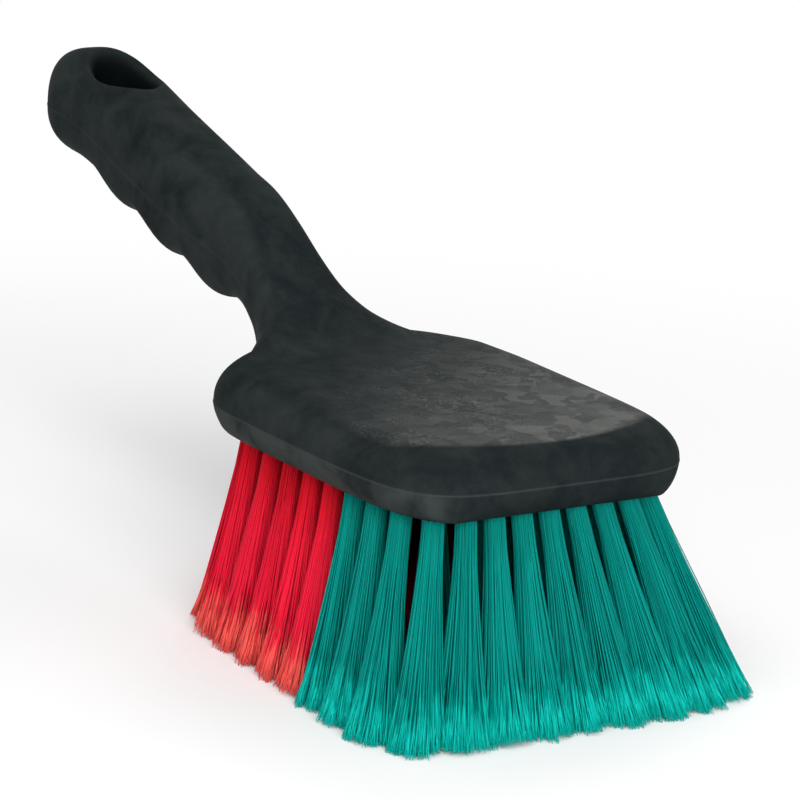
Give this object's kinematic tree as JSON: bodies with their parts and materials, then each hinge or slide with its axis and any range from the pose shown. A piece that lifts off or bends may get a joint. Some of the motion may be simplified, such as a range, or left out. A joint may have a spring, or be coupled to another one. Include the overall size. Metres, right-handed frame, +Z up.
{
  "type": "hand scrub brush",
  "caption": "Hand scrub brush: moulded black block with a raised, finger-grooved handle and hanging hole, set with flared tufts, red at the rear and green at the front.",
  "frame": {"origin": "on the plane of the bristle tips, under the middle of the brush's overall length and width", "axes": "+X from the handle's end towards the front of the block, +Z up from the tips to the block, Y = 0 halves the block and the handle"},
  "size_m": [0.3289, 0.139, 0.1498],
  "materials": {
    "black_plastic": "matte moulded plastic with light scuffs and a faint parting line",
    "red_filament": "drawn plastic filament, split and paler at the tips",
    "green_filament": "drawn plastic filament, split and paler at the tips"
  },
  "bodies": {
    "root": {"handle_block": "black_plastic", "tuft_red_01": "red_filament", "tuft_red_02": "red_filament", "tuft_red_03": "red_filament", "tuft_red_04": "red_filament", "tuft_red_05": "red_filament", "tuft_red_06": "red_filament", "tuft_red_07": "red_filament", "tuft_red_08": "red_filament", "tuft_red_09": "red_filament", "tuft_red_10": "red_filament", "tuft_red_11": "red_filament", "tuft_red_12": "red_filament", "tuft_red_13": "red_filament", "tuft_red_14": "red_filament", "tuft_red_15": "red_filament", "tuft_red_16": "red_filament", "tuft_red_17": "red_filament", "tuft_red_18": "red_filament", "tuft_red_19": "red_filament", "tuft_red_20": "red_filament", "tuft_red_21": "red_filament", "tuft_red_22": "red_filament", "tuft_red_23": "red_filament", "tuft_red_24": "red_filament", "tuft_red_25": "red_filament", "tuft_red_26": "red_filament", "tuft_red_27": "red_filament", "tuft_red_28": "red_filament", "tuft_red_29": "red_filament", "tuft_red_30": "red_filament", "tuft_red_31": "red_filament", "tuft_red_32": "red_filament", "tuft_red_33": "red_filament", "tuft_green_01": "green_filament", "tuft_green_02": "green_filament", "tuft_green_03": "green_filament", "tuft_green_04": "green_filament", "tuft_green_05": "green_filament", "tuft_green_06": "green_filament", "tuft_green_07": "green_filament", "tuft_green_08": "green_filament", "tuft_green_09": "green_filament", "tuft_green_10": "green_filament", "tuft_green_11": "green_filament", "tuft_green_12": "green_filament", "tuft_green_13": "green_filament", "tuft_green_14": "green_filament", "tuft_green_15": "green_filament", "tuft_green_16": "green_filament", "tuft_green_17": "green_filament", "tuft_green_18": "green_filament", "tuft_green_19": "green_filament", "tuft_green_20": "green_filament", "tuft_green_21": "green_filament", "tuft_green_22": "green_filament", "tuft_green_23": "green_filament", "tuft_green_24": "green_filament", "tuft_green_25": "green_filament", "tuft_green_26": "green_filament"}
  },
  "joints": []
}
